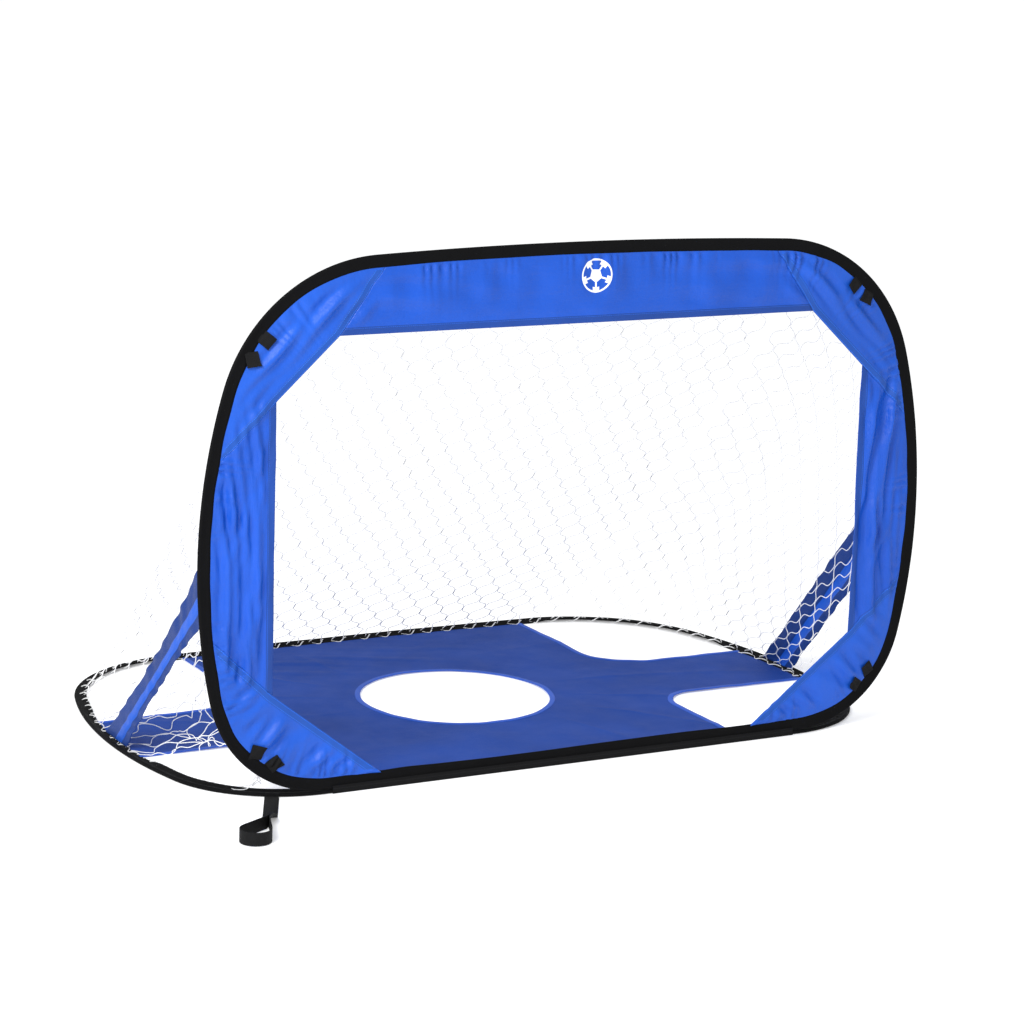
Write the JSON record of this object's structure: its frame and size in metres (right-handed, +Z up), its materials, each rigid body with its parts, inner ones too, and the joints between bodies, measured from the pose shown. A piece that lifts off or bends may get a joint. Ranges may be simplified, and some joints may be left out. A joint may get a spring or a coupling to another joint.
{
  "type": "pop up goal",
  "caption": "Folding pop-up ball goal: sprung standing hoop with fabric face panels, base hoop with a target sheet on the ground, sloping net and side stays, and a webbing tether strap.",
  "frame": {"origin": "on the ground under the middle of the base hoop's straight front run", "axes": "+X across the goal to the right seen from the front, +Y from the mouth to the back of the net, +Z up"},
  "size_m": [1.23, 0.9831, 0.8],
  "materials": {
    "panel_fabric": "woven polyester, satin",
    "hem_fabric": "folded woven polyester hem",
    "sheet_fabric": "woven polyester, matt",
    "binding_fabric": "folded bias binding",
    "stay_fabric": "woven polyester, gathered",
    "sleeve_fabric": "woven polyester sleeve, matt",
    "webbing": "woven webbing",
    "netting": "knotless polyester netting",
    "spring_steel": "spring steel wire"
  },
  "bodies": {
    "base_frame": {"base_sleeve": "sleeve_fabric", "base_hoop_wire": "spring_steel", "base_hoop_ferrule": "spring_steel", "net_foot_cord": "netting", "target_sheet": "sheet_fabric", "centre_hole_binding": "binding_fabric", "front_left_binding": "binding_fabric", "front_right_binding": "binding_fabric", "rear_left_binding": "binding_fabric", "rear_right_binding": "binding_fabric", "hinge_tape": "sleeve_fabric", "strap_anchor": "webbing", "net_back": "netting", "net_left": "netting", "net_right": "netting", "left_stay": "stay_fabric", "right_stay": "stay_fabric"},
    "front_frame": {"front_sleeve": "sleeve_fabric", "front_hoop_wire": "spring_steel", "front_hoop_ferrule": "spring_steel", "net_head_cord": "netting", "top_panel": "panel_fabric", "left_panel": "panel_fabric", "right_panel": "panel_fabric", "upper_left_gusset": "panel_fabric", "upper_right_gusset": "panel_fabric", "lower_left_gusset": "panel_fabric", "lower_right_gusset": "panel_fabric", "top_hem": "hem_fabric", "left_hem": "hem_fabric", "right_hem": "hem_fabric", "upper_left_gusset_hem": "hem_fabric", "upper_right_gusset_hem": "hem_fabric", "lower_left_gusset_hem": "hem_fabric", "lower_right_gusset_hem": "hem_fabric", "upper_left_tabs": "webbing", "upper_right_tabs": "webbing", "lower_left_tabs": "webbing", "lower_right_tabs": "webbing"},
    "tether": {"tether_strap": "webbing"}
  },
  "joints": [
    {"name": "front_fold", "type": "hinge", "parent": "base_frame", "child": "front_frame", "pos_m": [0, -0.0062, 0.0093], "axis": [-1, 0, 0], "range_deg": [0, 90], "stiffness_Nm_per_rad": 1.4, "springref_deg": -20.05, "deforming": ["net_back", "net_left", "net_right", "left_stay", "right_stay"]},
    {"name": "strap_swing", "type": "hinge", "parent": "base_frame", "child": "tether", "pos_m": [-0.4908, 0.00503, 0.0015], "axis": [-0.9063, 0.4226, 0], "range_deg": [0, 45]}
  ]
}
